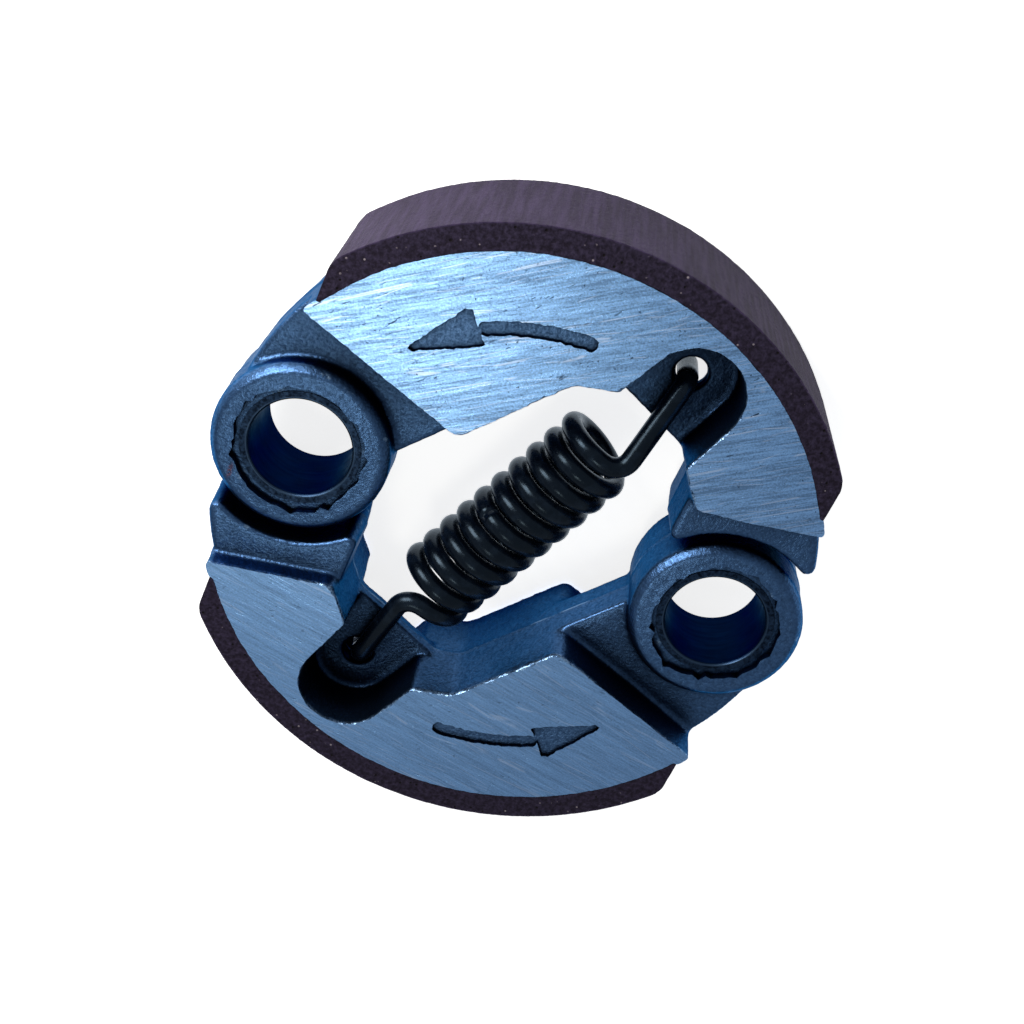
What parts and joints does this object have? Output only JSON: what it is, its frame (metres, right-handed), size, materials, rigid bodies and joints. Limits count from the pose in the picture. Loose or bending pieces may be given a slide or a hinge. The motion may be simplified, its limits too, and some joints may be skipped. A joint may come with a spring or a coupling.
{
  "type": "centrifugal clutch",
  "caption": "Centrifugal clutch of a small garden engine: arched cast shoes on pivot bushes, bonded friction linings on their rims, drawn together by a coil spring hooked across the middle.",
  "frame": {"origin": "clutch axis, on the plane of the machined back faces", "axes": "+Z along the clutch axis towards the front with the arrows, +X from the pivot of shoe A to the pivot of shoe B, +Y through the middle of the lining of shoe A"},
  "size_m": [0.0746, 0.078, 0.0176],
  "materials": {
    "cast_shoe": "as cast, with front and back ground bright",
    "lining": "matte bonded friction material, dark maroon-brown",
    "bush": "smooth dark steel bore",
    "spring": "black finished spring wire"
  },
  "bodies": {
    "spring": {"tension_spring": "spring"},
    "shoe_a": {"shoe_casting_a": "cast_shoe", "friction_lining_a": "lining", "pivot_bush_a": "bush"},
    "shoe_b": {"shoe_casting_b": "cast_shoe", "friction_lining_b": "lining", "pivot_bush_b": "bush"}
  },
  "joints": [
    {"name": "shoe_a_swing", "type": "hinge", "parent": "spring", "child": "shoe_a", "pos_m": [-0.02675, 0, 0.0088], "axis": [0, 0, 1], "range_deg": [0, 6], "stiffness_Nm_per_rad": 36, "deforming": ["tension_spring"]},
    {"name": "shoe_b_swing", "type": "hinge", "parent": "spring", "child": "shoe_b", "pos_m": [0.02675, 0, 0.0088], "axis": [0, 0, 1], "range_deg": [0, 6], "stiffness_Nm_per_rad": 36, "deforming": ["tension_spring"]}
  ]
}
